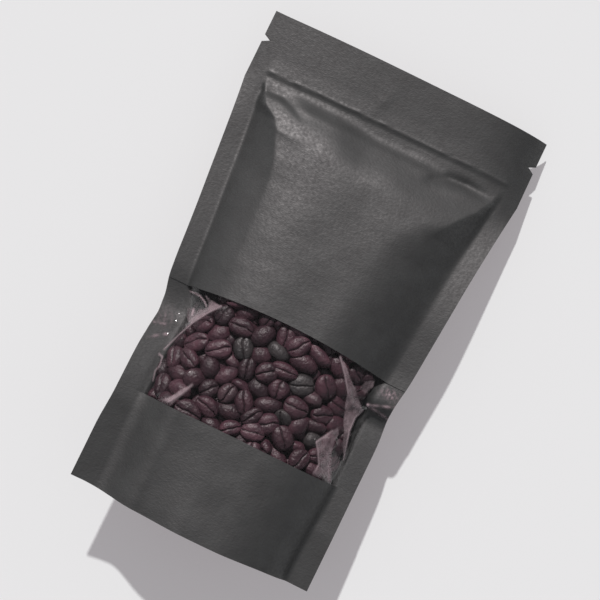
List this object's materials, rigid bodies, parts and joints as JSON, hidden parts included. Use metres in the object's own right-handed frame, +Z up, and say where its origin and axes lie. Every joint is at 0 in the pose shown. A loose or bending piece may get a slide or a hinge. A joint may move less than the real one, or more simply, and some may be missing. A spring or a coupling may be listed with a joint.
{
  "type": "coffee bag",
  "caption": "Black paper stand-up pouch lying on its back, filled and shut, with a press zip, sealed sides, a folded base and a clear window onto roasted coffee beans.",
  "frame": {"origin": "on the table, under the middle of the pouch's outline as it lies on its back", "axes": "+X across the pouch to the right, +Y along the pouch towards its zip and top edge, +Z up, away from the back web"},
  "size_m": [0.12, 0.1984, 0.0447],
  "materials": {
    "front_paper": "uncoated black kraft paper",
    "back_paper": "uncoated black kraft paper",
    "gusset_paper": "uncoated black kraft paper",
    "film": "clear glossy plastic film",
    "beans": "satin, dark roasted coffee beans"
  },
  "bodies": {
    "root": {"back_panel": "back_paper", "front_upper": "front_paper", "front_lower": "front_paper", "window_film": "film", "base_gusset": "gusset_paper", "beans": "beans"}
  },
  "joints": []
}
